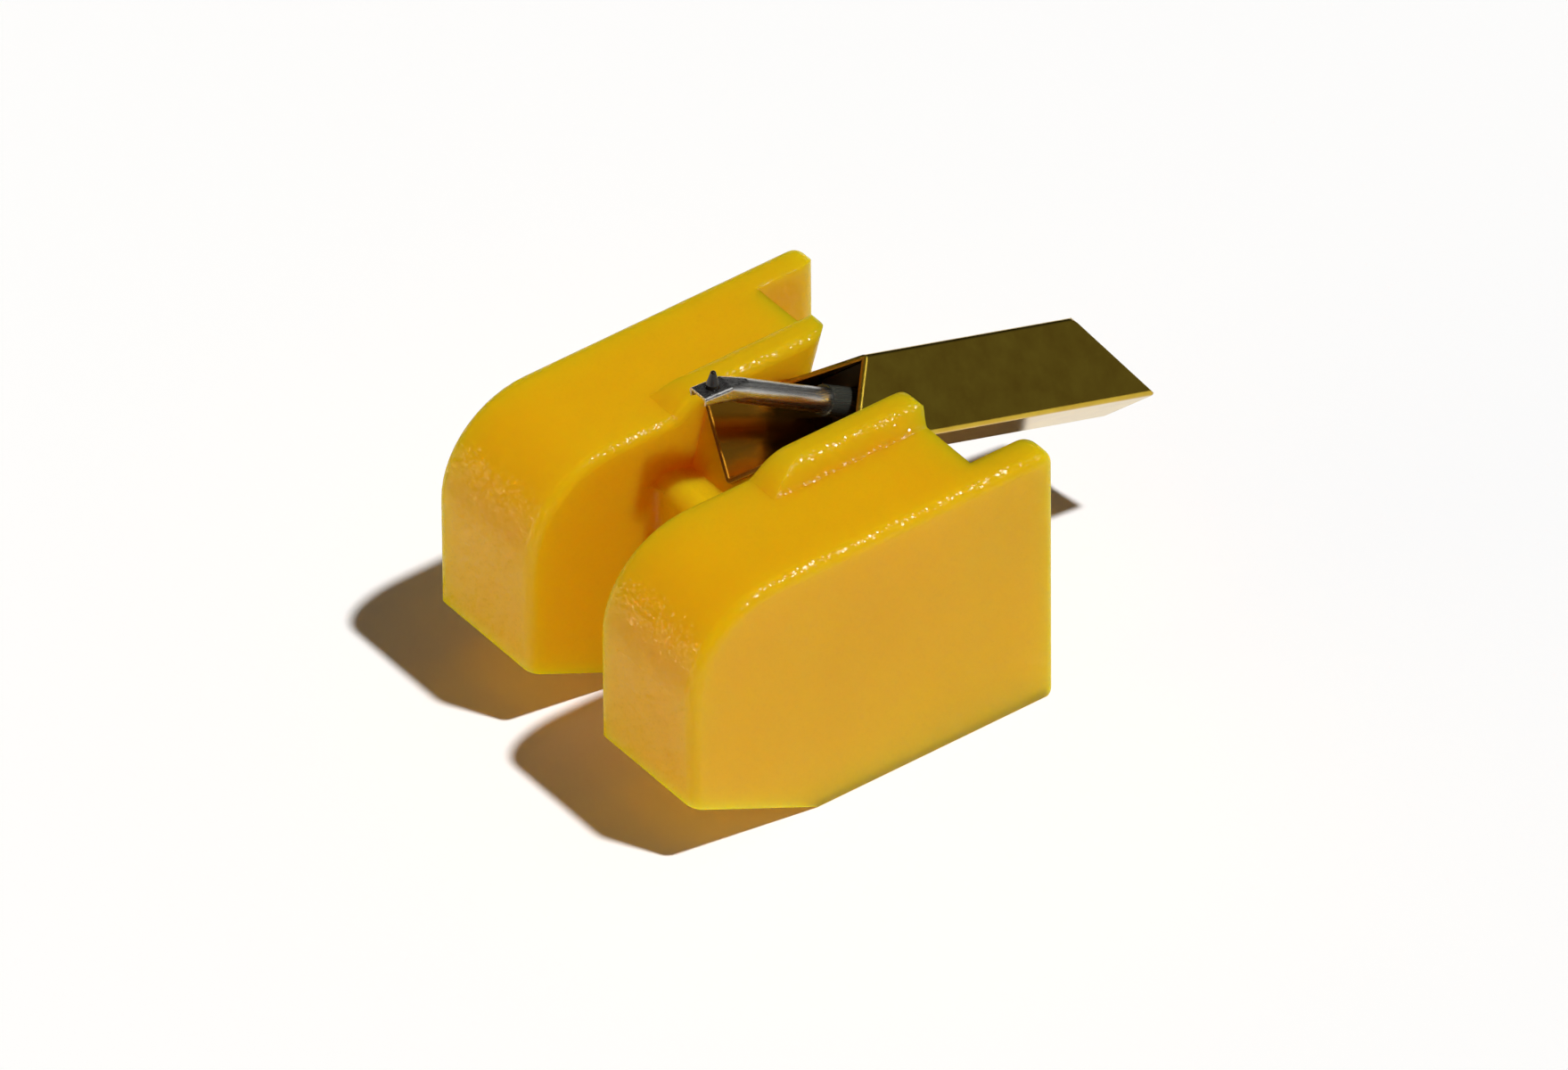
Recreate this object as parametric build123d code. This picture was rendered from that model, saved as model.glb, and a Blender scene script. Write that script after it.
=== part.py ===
from build123d import *
import os
from math import cos, pi, radians, sin, sqrt, tan

# Plug-in stylus of a record player's pick-up, lying on its flat base with the needle up.
# X runs across, Y runs back from the nose to the shank's tail, and Z is up, in millimetres.
# The origin is on the base, halfway across and halfway along the moulded holder.

# Holder: the moulded finger grip, two cheeks joined by a bridge
holder_width = 11.36
holder_length = 12.14
holder_height = 8.25
cheek_gap = 3.05
gap_depth = 4.17
gap_corner_radius = 0.4
nose_radius = 2.9
underside_length = 4.15
underside_rise = 1.95
heel_radius = 0.35
outer_edge_radius = 0.34
inner_edge_radius = 0.3

# Holder: tail wings and the shoulder between them, square to the shank
wing_length = 2.12
wing_thickness = 0.98
wing_mouth_radius = 0.64
tail_crown_radius = 0.45
channel_mouth_radius = 0.7

# Holder: raised rib along the inner top edge of each cheek
rib_start = 4.7
rib_ramp_length = 1.6
rib_height = 0.57
rib_crest_width = 0.66
rib_flank_width = 0.85
rib_tail_radius = 0.25
rib_toe_sink = 0.06
rib_crest_ease = 0.55
rib_foot_ease = 0.58
ramp_toe_ease = 0.3
ramp_crest_ease = 0.6

# Holder: bridge between the cheeks, a low shelf in front of the shank's saddle
shelf_drop = 1.45
shelf_edge_radius = 0.45
saddle_setback = 0.06

# Shank: folded square tube standing on its corner, sloping down to the tail
shank_side = 2.46
shank_wall = 0.14
shank_bend_radius = 0.16
shank_tilt = 16.9
shank_axis_rise = 0.115
shank_front = -0.112
shank_length = 13.1
hood_front_side = 2.61
hood_front_ridge = 3.86
hood_tail_cut = 2.1
hood_tail_radius = 0.5
shank_clearance = 0.02

# Needle: tube cantilever with a pressed flat tip, tilted up from the shank's axis
pivot_depth = 4.46
needle_rise = 14.6
cantilever_diameter = 0.69
cantilever_wall = 0.07
cantilever_reach = 5.0
cantilever_root = 0.75
press_length = 0.75
press_slope = 20.0
press_width = 0.72
press_height = 0.45
press_thickness = 0.09
press_corner_radius = 0.1
tip_length = 0.92
tip_lip = 0.27
tip_slope = 3.5

# Stylus: ground diamond set through the flat tip
diamond_diameter = 0.36
diamond_height = 0.53
diamond_shank = 0.12
diamond_point_radius = 0.085
diamond_setback = 0.48
diamond_tail = 0.08
diamond_clearance = 0.01

# Bearing: sleeve on the cantilever, rubber bush at the pivot, rubber block in the shank
sleeve_diameter = 0.88
sleeve_front = 1.85
sleeve_tail = 0.7
sleeve_clearance = 0.01
bush_diameter = 1.34
bush_length = 0.7
bush_clearance = 0.03
damper_front = 3.95
damper_length = 1.5
damper_corner_radius = 0.12
damper_clearance = 0.02

# Magnet on the cantilever's root, and the wire that ties it to the anchor in the shank
magnet_diameter = 0.7
magnet_length = 1.8
wire_diameter = 0.1
wire_clearance = 0.01
anchor_depth = 8.8
anchor_length = 1.2
anchor_corner_radius = 0.12

# Places worked out from the sizes above
nose_y = -holder_length / 2
tail_y = holder_length / 2
half_width = holder_width / 2
half_gap = cheek_gap / 2
cheek_width = half_width - half_gap
bridge_y = nose_y + gap_depth
shelf_height = holder_height - shelf_drop
shoulder_y = tail_y - wing_length
wing_inner_x = half_width - wing_thickness
shank_slope = tan(radians(shank_tilt))
past = 2 * holder_height
touch = 0.01

# Shank frame: local X across, local Y up from the axis, local Z back along the axis
axis_back = Vector(0, cos(radians(shank_tilt)), -sin(radians(shank_tilt)))
axis_up = Vector(0, sin(radians(shank_tilt)), cos(radians(shank_tilt)))
shank_axis_height = holder_height + shank_axis_rise
shank_start = Vector(0, 0, shank_axis_height) + axis_back * shank_front
shank_half_diagonal = shank_side / sqrt(2)
bore_side = shank_side - 2 * shank_wall

# Needle frame: local X across, local Y up, local Z forward along the cantilever from the pivot
needle_angle = radians(shank_tilt + needle_rise)
needle_forward = Vector(0, -cos(needle_angle), sin(needle_angle))
pivot = shank_start + axis_back * pivot_depth
needle_plane = Plane(origin=pivot, x_dir=(1, 0, 0), z_dir=needle_forward)


def shank_plane(depth):
    """Plane across the shank, depth millimetres behind its front end; local Y points up."""
    return Plane(origin=shank_start + axis_back * depth, x_dir=(-1, 0, 0), z_dir=axis_back)


def on_corner(side, radius):
    """Square standing on one corner, with rounded corners."""
    return Rot(0, 0, 45) * RectangleRounded(side, side, radius)


def side_outline():
    """Side view of a cheek: flat base, lifted underside, round nose, flat top, upright tail."""
    outline = Polyline(
        (nose_y, underside_rise),
        (nose_y + underside_length, 0),
        (tail_y, 0),
        (tail_y, holder_height),
        (nose_y, holder_height),
        close=True,
    )
    face = make_face(outline)
    nose = face.vertices().sort_by_distance((nose_y, holder_height, 0))[0]
    face = fillet(nose, nose_radius)
    crown = face.vertices().sort_by_distance((tail_y, holder_height, 0))[0]
    return fillet(crown, tail_crown_radius)


def cheek():
    """One cheek, its front, nose, top and tail edges rounded on both sides, its heel eased."""
    block = extrude(Plane.YZ.offset(half_gap) * side_outline(), cheek_width)
    for x, radius in ((half_width, outer_edge_radius), (half_gap, inner_edge_radius)):
        run = block.edges().filter_by_position(Axis.X, x - touch, x + touch)
        top = run.sort_by(Axis.Z)[-1]
        block = fillet(top, radius)
    eased = side_outline()
    heel = eased.vertices().sort_by_distance((tail_y, 0, 0))[0]
    eased = fillet(heel, heel_radius)
    return block & extrude(Plane.YZ * eased, half_width)


def rib_section():
    """Cross-section of the rib: upright inner wall, level crest, flank that flows into the top."""
    foot = holder_height - rib_height
    crest = holder_height + rib_height
    crest_x = half_gap + rib_crest_width
    foot_x = crest_x + rib_flank_width
    inner = Line((half_gap, foot), (half_gap, crest))
    top = Line(inner @ 1, (crest_x, crest))
    flank = Bezier(
        top @ 1,
        (crest_x + rib_crest_ease * rib_flank_width, crest),
        (foot_x - rib_foot_ease * rib_flank_width, holder_height - rib_toe_sink),
        (foot_x, holder_height - rib_toe_sink),
    )
    down = Line(flank @ 1, (foot_x, foot))
    back = Line(down @ 1, inner @ 0)
    return make_face(Curve() + [inner, top, flank, down, back])


def ramp_outline():
    """Side view of the rib: an S-shaped ramp up to the crest, then level to a rounded tail."""
    foot = holder_height - rib_height
    toe = (nose_y + rib_start, holder_height - rib_toe_sink)
    crest = (nose_y + rib_start + rib_ramp_length, holder_height + rib_height)
    toe_ease = ramp_toe_ease * rib_ramp_length
    crest_ease = ramp_crest_ease * rib_ramp_length
    front = Line((toe[0], foot), toe)
    ramp = Bezier(toe, (toe[0] + toe_ease, toe[1]), (crest[0] - crest_ease, crest[1]), crest)
    rear_y = shoulder_y + rib_height * shank_slope
    level = Line(crest, (rear_y - rib_tail_radius, crest[1]))
    turn = RadiusArc(level @ 1, (rear_y, crest[1] - rib_tail_radius), rib_tail_radius)
    rear = Line(turn @ 1, (rear_y, foot))
    back = Line(rear @ 1, front @ 0)
    return make_face(Curve() + [front, ramp, level, turn, rear, back])


def rib():
    """Rib on one cheek: its cross-section cut to the ramp's side view, with a rounded inner edge."""
    tail = Plane(origin=(0, tail_y, 0), x_dir=(1, 0, 0), z_dir=(0, -1, 0))
    run = extrude(tail * rib_section(), holder_length)
    ridge = run & extrude(Plane.YZ * ramp_outline(), half_width)
    inner = ridge.edges().filter_by_position(Axis.X, half_gap - touch, half_gap + touch)
    top = inner.filter_by_position(Axis.Z, holder_height - 2 * rib_toe_sink, past)
    return fillet(top, inner_edge_radius)


def bridge():
    """Web between the cheeks: an upright front, a shelf along the shank's slope, then the saddle."""
    overlap = gap_corner_radius
    saddle = shank_plane(saddle_setback)
    shelf_back = saddle.to_local_coords(Vector(0, bridge_y, shelf_height))
    shelf_end = saddle.from_local_coords(Vector(0, shelf_back.Y, 0))
    saddle_y = saddle.origin.Y + (holder_height - saddle.origin.Z) * shank_slope
    lean = holder_height * shank_slope
    outline = Polyline(
        (bridge_y, 0),
        (bridge_y, shelf_height),
        (shelf_end.Y, shelf_end.Z),
        (saddle_y, holder_height),
        (shoulder_y, holder_height),
        (shoulder_y - lean, 0),
        close=True,
    )
    web = extrude(Plane.YZ * make_face(outline), half_gap + overlap, both=True)
    brow = web.edges().sort_by_distance((0, bridge_y, shelf_height))[0]
    web = fillet(brow, shelf_edge_radius)
    corners = Pos(0, bridge_y, 0) * gap_corners()
    return web + corners


def gap_corners():
    """The two upright hollow corners where the web's front turns into the cheeks' inner walls."""
    block = Pos(half_gap, 0) * Rectangle(2 * gap_corner_radius, 2 * gap_corner_radius)
    hollow = Pos(half_gap - gap_corner_radius, -gap_corner_radius) * Circle(gap_corner_radius)
    corner = extrude(block - hollow, shelf_height - gap_corner_radius)
    return corner + mirror(corner, about=Plane.YZ)


def shank_channel():
    """Cutter for the shank, from the saddle's front back: a square on its corner, open upwards."""
    bed = on_corner(shank_side + 2 * shank_clearance, shank_bend_radius)
    slot = Pos(0, past / 2) * Rectangle(cheek_gap, past)
    return extrude(shank_plane(saddle_setback) * (bed + slot), 2 * past)


def tail_recess():
    """Cutter behind the shoulder: a leaning front face between the wings, with a flared mouth."""
    lean = past * shank_slope
    level = holder_height * shank_slope
    outline = Polyline(
        (shoulder_y - level - lean, -past),
        (tail_y + past, -past),
        (tail_y + past, past),
        (shoulder_y - level + lean, past),
        close=True,
    )
    recess = extrude(Plane.YZ * make_face(outline), wing_inner_x, both=True)
    tail = Plane(origin=(0, tail_y, -past))
    return recess + flare(wing_inner_x, wing_mouth_radius, tail, 2 * past)


def flare(half_opening, radius, place, height):
    """Prism that rounds off both upright edges of an opening, ending at the place's X axis."""
    opening = Rectangle(2 * (half_opening + radius), 2 * radius)
    for side in (1, -1):
        opening -= Pos(side * (half_opening + radius), -radius) * Circle(radius)
    return extrude(place * opening, height)


def stylus_holder():
    """Both cheeks with their ribs, the bridge, and the cuts for the shank and the pick-up's nose."""
    side = cheek() + rib()
    underside = extrude(Plane.YZ * side_outline(), half_width, both=True)
    body = side + mirror(side, about=Plane.YZ) + (bridge() & underside)
    shoulder = Plane(
        origin=(0, shoulder_y - holder_height * shank_slope, 0), x_dir=(1, 0, 0), z_dir=axis_up
    )
    axis_rise = (shank_axis_height - shoulder_y * shank_slope) * cos(radians(shank_tilt))
    mouth = flare(half_gap, channel_mouth_radius, shoulder.offset(axis_rise), past)
    return body - shank_channel() - tail_recess() - mouth


def shank_tube():
    """Folded square tube; its two upper walls are cut back at a slant at both ends."""
    wall = on_corner(shank_side, shank_bend_radius)
    wall -= on_corner(bore_side, shank_bend_radius - shank_wall)
    tube = extrude(shank_plane(0) * wall, shank_length)
    side_view = Plane(origin=shank_start, x_dir=axis_back, z_dir=(1, 0, 0))
    return tube & extrude(side_view * hood_outline(), shank_side, both=True)


def hood_outline():
    """Side view of the tube: a full-length trough below, and a shorter hood with slanted ends above."""
    ridge = shank_half_diagonal - (sqrt(2) - 1) * shank_bend_radius + touch
    share = ridge / shank_half_diagonal
    outline = Polyline(
        (0, -shank_side),
        (shank_length, -shank_side),
        (shank_length, 0),
        (shank_length - share * hood_tail_cut, ridge),
        (hood_front_side + share * (hood_front_ridge - hood_front_side), ridge),
        (hood_front_side, 0),
        (0, 0),
        close=True,
    )
    face = make_face(outline)
    tail_crown = face.vertices().group_by(Axis.Y)[-1].sort_by(Axis.X)[-1]
    return fillet(tail_crown, hood_tail_radius)


def rising(slope):
    """Direction that points forward and rises by a slope in degrees."""
    return Vector(0, -cos(radians(slope)), sin(radians(slope)))


def tip_plane(distance, slope):
    """Plane across the flat tip, square to a slope, on the flat's top, distance past the press."""
    crown = needle_plane.from_local_coords(Vector(0, cantilever_diameter / 2, cantilever_reach))
    start = crown + rising(press_slope) * press_length
    return Plane(origin=start + rising(tip_slope) * distance, x_dir=(1, 0, 0), z_dir=rising(slope))


def channel_section(place, height, inset):
    """Section of the pressed tip: a rounded box hanging under the flat's top line."""
    width = press_width - 2 * inset
    depth = height - 2 * inset
    return place * Pos(0, -height / 2) * RectangleRounded(width, depth, press_corner_radius)


def round_section(inset):
    """Section of the round tube where the press begins."""
    side = cantilever_diameter - 2 * inset
    place = needle_plane.offset(cantilever_reach)
    return place * RectangleRounded(side, side, side / 2 - touch)


def cantilever():
    """Thin tube, pressed into an upturned channel at its tip, with a hole for the diamond."""
    tube_run = cantilever_reach + cantilever_root
    root = needle_plane.offset(-cantilever_root)
    outer = extrude(root * Circle(cantilever_diameter / 2), tube_run)
    inner = extrude(root * Circle(cantilever_diameter / 2 - cantilever_wall), tube_run)
    bend = tip_plane(0, (press_slope + tip_slope) / 2)
    end = tip_plane(tip_length, tip_slope)
    outer += loft([round_section(0), channel_section(bend, press_height, 0)])
    outer += loft([channel_section(bend, press_height, 0), channel_section(end, tip_lip, 0)])
    hollow_end = channel_section(bend, press_height, cantilever_wall)
    inner += loft([round_section(cantilever_wall), hollow_end])
    groove_width = press_width - 2 * cantilever_wall
    groove = Pos(0, -press_thickness - press_height / 2) * RectangleRounded(
        groove_width, press_height, cantilever_wall
    )
    groove = extrude(tip_plane(0, tip_slope) * groove, tip_length + press_height)
    seat = Pos(0, 0, -press_height) * Cylinder(diamond_diameter / 2 + diamond_clearance, 2 * press_height)
    return outer - inner - groove - diamond_plane() * seat


def diamond_plane():
    """Plane on the flat's top at the diamond; local Z points along the diamond, away from the flat."""
    place = tip_plane(tip_length - diamond_setback, tip_slope)
    return Plane(origin=place.origin, x_dir=(1, 0, 0), z_dir=place.y_dir)


def diamond_tip():
    """Turned shank, cone and rounded point of the stylus."""
    radius = diamond_diameter / 2
    low = -press_thickness - diamond_tail
    ball = diamond_height - diamond_point_radius
    outline = Polyline(
        (0, low),
        (radius, low),
        (radius, diamond_shank),
        (diamond_point_radius, ball),
        (0, ball),
        close=True,
    )
    stone = revolve(Plane.XZ * make_face(outline), Axis.Z)
    stone += Pos(0, 0, ball) * Sphere(diamond_point_radius)
    return diamond_plane() * stone


def bearing_sleeve():
    """Clear sleeve on the cantilever where it leaves the rubber."""
    ring = Circle(sleeve_diameter / 2) - Circle(cantilever_diameter / 2 + sleeve_clearance)
    return extrude(needle_plane.offset(-sleeve_tail) * ring, sleeve_front + sleeve_tail)


def pivot_bush():
    """Rubber ring round the sleeve, centred on the pivot."""
    ring = Circle(bush_diameter / 2) - Circle(sleeve_diameter / 2 + bush_clearance)
    return extrude(needle_plane * ring, bush_length / 2, both=True)


def damper_block():
    """Rubber block that fills the shank, bored along the needle and pocketed for the bush."""
    side = bore_side - 2 * damper_clearance
    block = extrude(shank_plane(damper_front) * on_corner(side, damper_corner_radius), damper_length)
    bore = Cylinder(sleeve_diameter / 2 + damper_clearance, 4 * damper_length)
    pocket_length = bush_length / 2 + damper_clearance + damper_length
    pocket = Pos(0, 0, bush_length / 2 + damper_clearance - pocket_length / 2) * Cylinder(
        bush_diameter / 2 + damper_clearance, pocket_length
    )
    return block - needle_plane * (bore + pocket)


def magnet():
    """Rod magnet on the cantilever's root."""
    place = needle_plane.offset(-cantilever_root - magnet_length)
    return extrude(place * Circle(magnet_diameter / 2), magnet_length)


def wire_plane():
    """Plane at the magnet's tail; local Z points along the wire to the anchor's tail."""
    start = needle_plane.from_local_coords(Vector(0, 0, -cantilever_root - magnet_length))
    end = shank_plane(anchor_depth + anchor_length).origin
    return Plane(origin=start, x_dir=(1, 0, 0), z_dir=end - start), (end - start).length


def tie_wire():
    """Fine wire from the magnet's tail to the anchor's tail."""
    place, length = wire_plane()
    return extrude(place * Circle(wire_diameter / 2), length)


def wire_anchor():
    """Plug in the shank, bored for the wire."""
    side = bore_side - 2 * shank_clearance
    plug = extrude(shank_plane(anchor_depth) * on_corner(side, anchor_corner_radius), anchor_length)
    place, length = wire_plane()
    return plug - extrude(place * Circle(wire_diameter / 2 + wire_clearance), 2 * length)


pieces = {
    "stylus_holder": stylus_holder(),
    "shank_tube": shank_tube(),
    "cantilever": cantilever(),
    "diamond_tip": diamond_tip(),
    "bearing_sleeve": bearing_sleeve(),
    "pivot_bush": pivot_bush(),
    "damper_block": damper_block(),
    "magnet": magnet(),
    "tie_wire": tie_wire(),
    "wire_anchor": wire_anchor(),
}

os.makedirs("parts", exist_ok=True)
for name, piece in pieces.items():
    export_step(piece, f"parts/{name}.step")
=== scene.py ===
import bpy
import numpy as np
from mathutils import Matrix, Vector

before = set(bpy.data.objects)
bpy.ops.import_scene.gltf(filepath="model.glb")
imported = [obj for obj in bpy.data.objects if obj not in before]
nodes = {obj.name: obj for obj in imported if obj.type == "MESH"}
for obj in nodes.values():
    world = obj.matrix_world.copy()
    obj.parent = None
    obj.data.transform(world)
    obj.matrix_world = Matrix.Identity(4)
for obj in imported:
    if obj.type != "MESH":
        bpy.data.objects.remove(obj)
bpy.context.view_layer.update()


# Stylus holder
# One injection moulding in translucent acetal, yellow right through, that the fingers grip.
# Its mould was spark-eroded, then polished, so its skin is glossy, with fine pits that sparkle on the edges.

millimetre = 0.001
holder_yellow = "f4c000"
holder_amber = "eeb400"
scatter_reach = 2.6 * millimetre
holder_edge_radius = 0.2 * millimetre
flow_mark_size = 3.5 * millimetre
pit_size = 0.06 * millimetre
pit_tilt = 0.18
peel_size = 0.55 * millimetre
peel_height = 0.05 * millimetre
acetal_ior = 1.48


def linear(code):
    """sRGB hex to linear colour: c/12.92 where c is at most 0.04045, else ((c + 0.055)/1.055)^2.4."""
    c = np.array([int(code[i:i + 2], 16) for i in (0, 2, 4)]) / 255
    low, high = c / 12.92, ((c + 0.055) / 1.055) ** 2.4
    return (*np.where(c <= 0.04045, low, high).tolist(), 1.0)


def node(tree, kind, settings=None, inputs=None):
    """Adds one node. Settings are its properties; an input is a value, or (node, output) for a link."""
    made = tree.nodes.new(kind)
    for name, value in (settings or {}).items():
        setattr(made, name, value)
    for name, value in (inputs or {}).items():
        if isinstance(value, tuple) and isinstance(value[0], bpy.types.Node):
            tree.links.new(value[0].outputs[value[1]], made.inputs[name])
        else:
            made.inputs[name].default_value = value
    return made


def material(name):
    """An empty node material with its output: returns the material, its tree and the output node."""
    made = bpy.data.materials.new(name)
    made.use_nodes = True
    made.node_tree.nodes.clear()
    return made, made.node_tree, made.node_tree.nodes.new("ShaderNodeOutputMaterial")


def dress(names, finish):
    """Gives CAD nodes their finish in place of the plain colour that they come with."""
    for name in names:
        nodes[name].data.materials.clear()
        nodes[name].data.materials.append(finish)


# Yellow acetal: light scatters for millimetres under the skin, and some passes right through to the shadow
# The gloss is a coat, weak as in the photograph; its pits lean each their own way, and are finer in life
acetal, tree, output = material("moulded_yellow_acetal")
place = node(tree, "ShaderNodeTexCoord")
flow = node(tree, "ShaderNodeTexNoise", None, {
    "Vector": (place, "Object"), "Scale": 1 / flow_mark_size, "Detail": 2.0, "Roughness": 0.5})
tint = node(tree, "ShaderNodeMix", {"data_type": "RGBA"}, {
    0: (flow, "Fac"), 6: linear(holder_amber), 7: linear(holder_yellow)})
peel = node(tree, "ShaderNodeTexNoise", None, {
    "Vector": (place, "Object"), "Scale": 1 / peel_size, "Detail": 2.0, "Roughness": 0.5})
rounded = node(tree, "ShaderNodeBevel", {"samples": 6}, {"Radius": holder_edge_radius})
waves = node(tree, "ShaderNodeBump", None, {
    "Strength": 0.12, "Distance": peel_height, "Height": (peel, "Fac"), "Normal": (rounded, "Normal")})
pits = node(tree, "ShaderNodeTexVoronoi", None, {"Vector": (place, "Object"), "Scale": 1 / pit_size})
tilt = node(tree, "ShaderNodeVectorMath", {"operation": "MULTIPLY_ADD"}, {
    0: (pits, "Color"), 1: (2 * pit_tilt,) * 3, 2: (-pit_tilt,) * 3})
leaning = node(tree, "ShaderNodeVectorMath", {"operation": "ADD"}, {
    0: (waves, "Normal"), 1: (tilt, "Vector")})
sparkle = node(tree, "ShaderNodeVectorMath", {"operation": "NORMALIZE"}, {0: (leaning, "Vector")})
gloss = node(tree, "ShaderNodeMapRange", None, {
    "Value": (pits, "Color"), "From Min": 0.5, "From Max": 0.7, "To Min": 0.18, "To Max": 0.06})
skin = node(tree, "ShaderNodeBsdfPrincipled", {"subsurface_method": "RANDOM_WALK"}, {
    "Base Color": (tint, 2), "Roughness": 1.0, "IOR": acetal_ior, "Specular IOR Level": 0.0,
    "Subsurface Weight": 1.0, "Subsurface Radius": (1.0, 0.78, 0.12), "Subsurface Scale": scatter_reach,
    "Transmission Weight": 0.3,
    "Coat Weight": 0.4, "Coat IOR": acetal_ior, "Coat Roughness": (gloss, "Result"),
    "Coat Normal": (sparkle, "Vector")})
tree.links.new(skin.outputs[0], output.inputs["Surface"])
dress(["stylus_holder"], acetal)


# Shank tube
# A strip of brass folded into a square tube and gold plated, pressed into the holder's saddle.
# The plating is a clouded mirror outside; inside it is painted a redder brown, a painted reflection of the
# shaded orange holder. The sheared ends stay torn and dark.

shank_gold = "dbbe45"
shank_worn = "b08a2c"
shank_painted_inner_reflection = "d0922a"
shank_sheared = "6b4a20"
shank_lean = np.radians(16.9)
shank_axis_height = 8.365 * millimetre
shank_mid_wall = 1.16 * millimetre
rolling_width = 0.16 * millimetre
rolling_length = 6.0 * millimetre
rolling_height = 0.01 * millimetre
cloud_size = 0.7 * millimetre
shear_grain = 0.05 * millimetre
burr_height = 0.03 * millimetre
shank_edge_radius = 0.08 * millimetre
edge_facing = 0.2
cut_facing = 0.9

plating, tree, output = material("gold_plated_rolled_brass")
place = node(tree, "ShaderNodeTexCoord")
along = node(tree, "ShaderNodeMapping", {"vector_type": "TEXTURE"}, {
    "Vector": (place, "Object"), "Rotation": (-shank_lean, 0.0, 0.0),
    "Scale": (rolling_width, rolling_length, rolling_width)})
rolled = node(tree, "ShaderNodeTexNoise", None, {
    "Vector": (along, "Vector"), "Scale": 1.0, "Detail": 3.0})
cloud = node(tree, "ShaderNodeTexNoise", None, {
    "Vector": (place, "Object"), "Scale": 1 / cloud_size, "Detail": 3.0, "Roughness": 0.6})
outside = node(tree, "ShaderNodeMix", {"data_type": "RGBA"}, {
    0: (cloud, "Fac"), 6: linear(shank_worn), 7: linear(shank_gold)})

# Inside the tube, |x| + |height over the axis| is less than the middle of the wall times the root of two
axis_up = (0.0, np.sin(shank_lean), np.cos(shank_lean))
over_axis = node(tree, "ShaderNodeVectorMath", {"operation": "DOT_PRODUCT"}, {
    0: (place, "Object"), 1: axis_up})
height = node(tree, "ShaderNodeMath", {"operation": "SUBTRACT"}, {
    0: (over_axis, "Value"), 1: shank_axis_height * np.cos(shank_lean)})
rise = node(tree, "ShaderNodeMath", {"operation": "ABSOLUTE"}, {0: (height, "Value")})
across = node(tree, "ShaderNodeSeparateXYZ", None, {"Vector": (place, "Object")})
reach = node(tree, "ShaderNodeMath", {"operation": "ABSOLUTE"}, {0: (across, "X")})
spread = node(tree, "ShaderNodeMath", {"operation": "ADD"}, {0: (rise, "Value"), 1: (reach, "Value")})
inside = node(tree, "ShaderNodeMath", {"operation": "LESS_THAN"}, {
    0: (spread, "Value"), 1: shank_mid_wall * np.sqrt(2)})
# The inside is painted a redder brown: a painted reflection of the shaded orange holder, which these walls
# mirror.
plated = node(tree, "ShaderNodeMix", {"data_type": "RGBA"}, {
    0: (inside, "Value"), 6: (outside, 2), 7: linear(shank_painted_inner_reflection)})

# Sheared ends face along the tube, where the walls face across it
axis_back = (0.0, np.cos(shank_lean), -np.sin(shank_lean))
rounded = node(tree, "ShaderNodeBevel", {"samples": 6}, {"Radius": shank_edge_radius})
lengthways = node(tree, "ShaderNodeVectorMath", {"operation": "DOT_PRODUCT"}, {
    0: (rounded, "Normal"), 1: axis_back})
endways = node(tree, "ShaderNodeMath", {"operation": "ABSOLUTE"}, {0: (lengthways, "Value")})
sheared = node(tree, "ShaderNodeMath", {"operation": "GREATER_THAN"}, {
    0: (endways, "Value"), 1: edge_facing})
cut = node(tree, "ShaderNodeMath", {"operation": "GREATER_THAN"}, {
    0: (endways, "Value"), 1: cut_facing})
tone = node(tree, "ShaderNodeMix", {"data_type": "RGBA"}, {
    0: (cut, "Value"), 6: (plated, 2), 7: linear(shank_sheared)})
torn = node(tree, "ShaderNodeTexNoise", None, {
    "Vector": (place, "Object"), "Scale": 1 / shear_grain, "Detail": 2.0})
lines = node(tree, "ShaderNodeBump", None, {
    "Strength": 0.05, "Distance": rolling_height, "Height": (rolled, "Fac"), "Normal": (rounded, "Normal")})
burrs = node(tree, "ShaderNodeBump", None, {
    "Strength": (sheared, "Value"), "Distance": burr_height, "Height": (torn, "Fac"),
    "Normal": (lines, "Normal")})
haze = node(tree, "ShaderNodeMapRange", None, {
    "Value": (rolled, "Fac"), "From Min": 0.3, "From Max": 0.7, "To Min": 0.07, "To Max": 0.13})
dull = node(tree, "ShaderNodeMath", {"operation": "MULTIPLY_ADD"}, {
    0: (inside, "Value"), 1: 0.08, 2: (haze, "Result")})
rough = node(tree, "ShaderNodeMath", {"operation": "MULTIPLY_ADD"}, {
    0: (sheared, "Value"), 1: 0.22, 2: (dull, "Value")})
metal = node(tree, "ShaderNodeBsdfPrincipled", None, {
    "Base Color": (tone, 2), "Metallic": 1.0, "Roughness": (rough, "Value"), "Normal": (burrs, "Normal")})
tree.links.new(metal.outputs[0], output.inputs["Surface"])
dress(["shank_tube"], plating)


# Cantilever
# A drawn aluminium tube that carries the groove's movement; its tip is pressed flat and pierced.
# Drawing leaves fine lines along it, so highlights stretch across the tube.

needle_lean = np.radians(31.5)
drawing_width = 0.05 * millimetre
drawing_length = 2.5 * millimetre
drawing_height = 0.006 * millimetre
cantilever_edge_radius = 0.03 * millimetre
aluminium_dull = "b2b0ac"
aluminium_bright = "d6d4d0"

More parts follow.
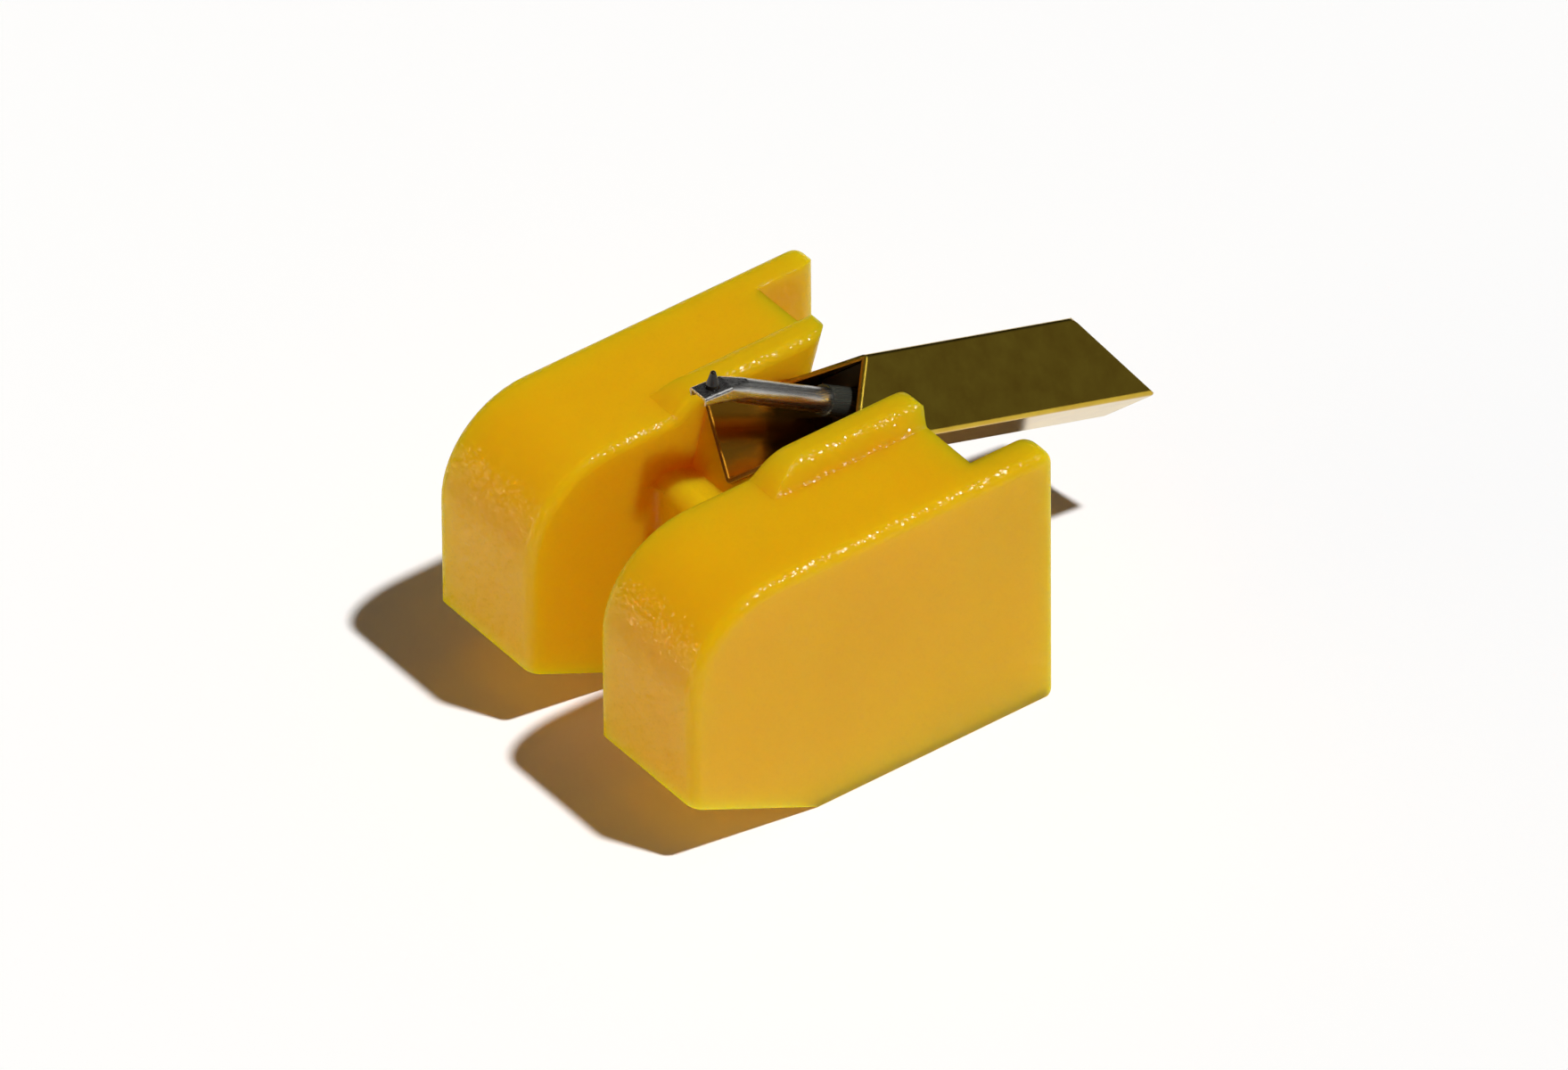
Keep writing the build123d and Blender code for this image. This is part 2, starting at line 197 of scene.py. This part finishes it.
drawn, tree, output = material("drawn_aluminium")
place = node(tree, "ShaderNodeTexCoord")
along = node(tree, "ShaderNodeMapping", {"vector_type": "TEXTURE"}, {
    "Vector": (place, "Object"), "Rotation": (-needle_lean, 0.0, 0.0),
    "Scale": (drawing_width, drawing_length, drawing_width)})
scores = node(tree, "ShaderNodeTexNoise", None, {
    "Vector": (along, "Vector"), "Scale": 1.0, "Detail": 2.0})
tone = node(tree, "ShaderNodeMix", {"data_type": "RGBA"}, {
    0: (scores, "Fac"), 6: linear(aluminium_dull), 7: linear(aluminium_bright)})
rounded = node(tree, "ShaderNodeBevel", {"samples": 6}, {"Radius": cantilever_edge_radius})
lines = node(tree, "ShaderNodeBump", None, {
    "Strength": 0.2, "Distance": drawing_height, "Height": (scores, "Fac"), "Normal": (rounded, "Normal")})
haze = node(tree, "ShaderNodeMapRange", None, {
    "Value": (scores, "Fac"), "From Min": 0.3, "From Max": 0.7, "To Min": 0.22, "To Max": 0.34})
metal = node(tree, "ShaderNodeBsdfPrincipled", None, {
    "Base Color": (tone, 2), "Metallic": 1.0, "Roughness": (haze, "Result"), "Normal": (lines, "Normal")})
tree.links.new(metal.outputs[0], output.inputs["Surface"])
dress(["cantilever"], drawn)


# Diamond tip
# A ground diamond, set through the flat and glued from below.
# It looks nearly black in the photograph, so it is drawn opaque and dark, with its reflection turned down.

diamond_black = "070503"
diamond_brown = "1c120a"
diamond_cloud_size = 0.12 * millimetre

stone, tree, output = material("ground_diamond")
place = node(tree, "ShaderNodeTexCoord")
clouding = node(tree, "ShaderNodeTexNoise", None, {
    "Vector": (place, "Object"), "Scale": 1 / diamond_cloud_size, "Detail": 2.0})
tone = node(tree, "ShaderNodeMix", {"data_type": "RGBA"}, {
    0: (clouding, "Fac"), 6: linear(diamond_black), 7: linear(diamond_brown)})
gem = node(tree, "ShaderNodeBsdfPrincipled", None, {
    "Base Color": (tone, 2), "Roughness": 0.15, "IOR": 2.42, "Specular IOR Level": 0.1})
tree.links.new(gem.outputs[0], output.inputs["Surface"])
dress(["diamond_tip"], stone)


# Bearing sleeve
# A short clear tube of plastic, pushed over the cantilever where it leaves the rubber.
# It lets nearly all light through, so mostly its front rim shows.

sleeve_grey = "b9bcae"
sleeve_cloud_size = 0.2 * millimetre
sleeve_edge_radius = 0.04 * millimetre

clear, tree, output = material("clear_sleeve")
place = node(tree, "ShaderNodeTexCoord")
clouding = node(tree, "ShaderNodeTexNoise", None, {
    "Vector": (place, "Object"), "Scale": 1 / sleeve_cloud_size, "Detail": 2.0})
haze = node(tree, "ShaderNodeMapRange", None, {
    "Value": (clouding, "Fac"), "To Min": 0.03, "To Max": 0.15})
rounded = node(tree, "ShaderNodeBevel", {"samples": 6}, {"Radius": sleeve_edge_radius})
plastic = node(tree, "ShaderNodeBsdfPrincipled", None, {
    "Base Color": linear(sleeve_grey), "Roughness": (haze, "Result"), "IOR": 1.49,
    "Transmission Weight": 0.94, "Normal": (rounded, "Normal")})
tree.links.new(plastic.outputs[0], output.inputs["Surface"])
dress(["bearing_sleeve"], clear)


# Rubber bush and damper block
# Moulded butyl rubber: the bush grips the sleeve at the pivot, and the block fills the shank around it.
# Carbon black makes it nearly black, and the mould leaves it matt.

rubber_black = "0a0a08"
rubber_grey = "181814"
grit_size = 0.08 * millimetre
grit_height = 0.01 * millimetre

rubber, tree, output = material("moulded_butyl_rubber")
place = node(tree, "ShaderNodeTexCoord")
grit = node(tree, "ShaderNodeTexNoise", None, {
    "Vector": (place, "Object"), "Scale": 1 / grit_size, "Detail": 2.0})
tone = node(tree, "ShaderNodeMix", {"data_type": "RGBA"}, {
    0: (grit, "Fac"), 6: linear(rubber_black), 7: linear(rubber_grey)})
bumps = node(tree, "ShaderNodeBump", None, {
    "Strength": 0.3, "Distance": grit_height, "Height": (grit, "Fac")})
matt = node(tree, "ShaderNodeBsdfPrincipled", None, {
    "Base Color": (tone, 2), "Roughness": 0.65, "Normal": (bumps, "Normal")})
tree.links.new(matt.outputs[0], output.inputs["Surface"])
dress(["pivot_bush", "damper_block"], rubber)


# Magnet and tie wire
# A ground rod magnet on the cantilever's root, and the fine steel wire that ties it back to the anchor.
# Both are hidden inside the shank, and plain grey metal.

steel_dark = "83858a"
steel_light = "b5b7bb"
grinding_size = 0.05 * millimetre

ground, tree, output = material("ground_magnet_steel")
place = node(tree, "ShaderNodeTexCoord")
marks = node(tree, "ShaderNodeTexNoise", None, {
    "Vector": (place, "Object"), "Scale": 1 / grinding_size, "Detail": 2.0})
tone = node(tree, "ShaderNodeMix", {"data_type": "RGBA"}, {
    0: (marks, "Fac"), 6: linear(steel_dark), 7: linear(steel_light)})
metal = node(tree, "ShaderNodeBsdfPrincipled", None, {
    "Base Color": (tone, 2), "Metallic": 1.0, "Roughness": 0.35})
tree.links.new(metal.outputs[0], output.inputs["Surface"])
dress(["magnet", "tie_wire"], ground)


# Wire anchor
# A turned brass plug pressed into the shank, which grips the wire.
# It shows only from the open tail.

anchor_brown = "b08a45"
anchor_brass = "d8b66a"
turning_size = 0.15 * millimetre

turned, tree, output = material("turned_brass")
place = node(tree, "ShaderNodeTexCoord")
marks = node(tree, "ShaderNodeTexNoise", None, {
    "Vector": (place, "Object"), "Scale": 1 / turning_size, "Detail": 2.0})
tone = node(tree, "ShaderNodeMix", {"data_type": "RGBA"}, {
    0: (marks, "Fac"), 6: linear(anchor_brown), 7: linear(anchor_brass)})
metal = node(tree, "ShaderNodeBsdfPrincipled", None, {
    "Base Color": (tone, 2), "Metallic": 1.0, "Roughness": 0.3})
tree.links.new(metal.outputs[0], output.inputs["Surface"])
dress(["wire_anchor"], turned)


# Floor
# A plain sheet of white card that the stylus lies on.
# A fiftieth of a millimetre parts them, so that light which passes through the holder reaches the card.

card_white = "fefefe"
floor_half = 2.0
floor_gap = 0.02 * millimetre
square = np.array([(-1, -1, 0), (1, -1, 0), (1, 1, 0), (-1, 1, 0)])
corners = square * floor_half - np.array((0, 0, floor_gap))
card = bpy.data.meshes.new("floor")
card.from_pydata(corners.tolist(), [], [(0, 1, 2, 3)])
floor = bpy.data.objects.new("floor", card)
bpy.context.scene.collection.objects.link(floor)
paper, tree, output = material("white_card")
matt = node(tree, "ShaderNodeBsdfDiffuse", None, {"Color": linear(card_white)})
tree.links.new(matt.outputs[0], output.inputs["Surface"])
card.materials.append(paper)


# Light
# One key lamp from behind and the right, high up, as the shadow shows, and a low warm one in front.
# The room is dim and plain, with a lighter wall behind, which the plating mirrors: there the strength grows.

to_key = Vector((0.3682, 0.1981, 0.9084))
to_wall = Vector((0.42, 0.83, 0.37)).normalized()
room_strength, wall_strength = 0.03, 0.14
lamp = bpy.data.lights.new("key", "SUN")
lamp.energy = 3.2
lamp.angle = np.radians(3.0)
key = bpy.data.objects.new("key", lamp)
key.rotation_mode = "QUATERNION"
key.rotation_quaternion = to_key.to_track_quat("Z", "Y")
bpy.context.scene.collection.objects.link(key)
card_lamp = bpy.data.lights.new("front_card", "AREA")
card_lamp.shape = "RECTANGLE"
card_lamp.size, card_lamp.size_y = 0.16, 0.018
card_lamp.energy = 0.1
card_lamp.color = (1.0, 0.8, 0.42)
card_place = Vector((-0.07, -0.185, 0.024))
front_card = bpy.data.objects.new("front_card", card_lamp)
front_card.location = card_place
front_card.rotation_mode = "QUATERNION"
front_card.rotation_quaternion = card_place.to_track_quat("Z", "Y")
bpy.context.scene.collection.objects.link(front_card)
world = bpy.data.worlds.new("room")
world.use_nodes = True
tree = world.node_tree
place = node(tree, "ShaderNodeTexCoord")
nearness = node(tree, "ShaderNodeVectorMath", {"operation": "DOT_PRODUCT"}, {
    0: (place, "Generated"), 1: to_wall})
glow = node(tree, "ShaderNodeMapRange", None, {
    "Value": (nearness, "Value"), "From Min": 0.75, "From Max": 0.95,
    "To Min": room_strength, "To Max": wall_strength})
tree.nodes["Background"].inputs["Color"].default_value = (1.0, 1.0, 1.0, 1.0)
tree.links.new(glow.outputs["Result"], tree.nodes["Background"].inputs["Strength"])
bpy.context.scene.world = world
bpy.context.scene.view_settings.view_transform = "Standard"


# Camera
# A long lens on the photograph's line of sight: azimuth, elevation and roll, with the frame's centre held.

azimuth, elevation, roll = np.radians((53.2551, 38.8465, -0.4863))
pixels_per_metre = 42000.0
frame_width_pixels = 1759
sensor_width = 36.0
distance = 0.9
middle = np.array((0.0, 0.00195, 0.0045))
off_right, off_up = -0.5448 * millimetre, -0.5726 * millimetre
back = np.array((
    np.sin(azimuth) * np.cos(elevation),
    -np.cos(azimuth) * np.cos(elevation),
    np.sin(elevation)))
level = np.array((np.cos(azimuth), np.sin(azimuth), 0.0))
climb = np.cross(back, level)
right = np.cos(roll) * level + np.sin(roll) * climb
up = np.cross(back, right)
stand = middle + off_right * right + off_up * up + distance * back
lens = bpy.data.cameras.new("view")
lens.sensor_width = sensor_width
lens.lens = sensor_width * pixels_per_metre * distance / frame_width_pixels
lens.clip_start, lens.clip_end = 0.01, 10.0
camera = bpy.data.objects.new("view", lens)
camera.matrix_world = Matrix((
    (right[0], up[0], back[0], stand[0]),
    (right[1], up[1], back[1], stand[1]),
    (right[2], up[2], back[2], stand[2]),
    (0.0, 0.0, 0.0, 1.0)))
bpy.context.scene.collection.objects.link(camera)
bpy.context.scene.camera = camera
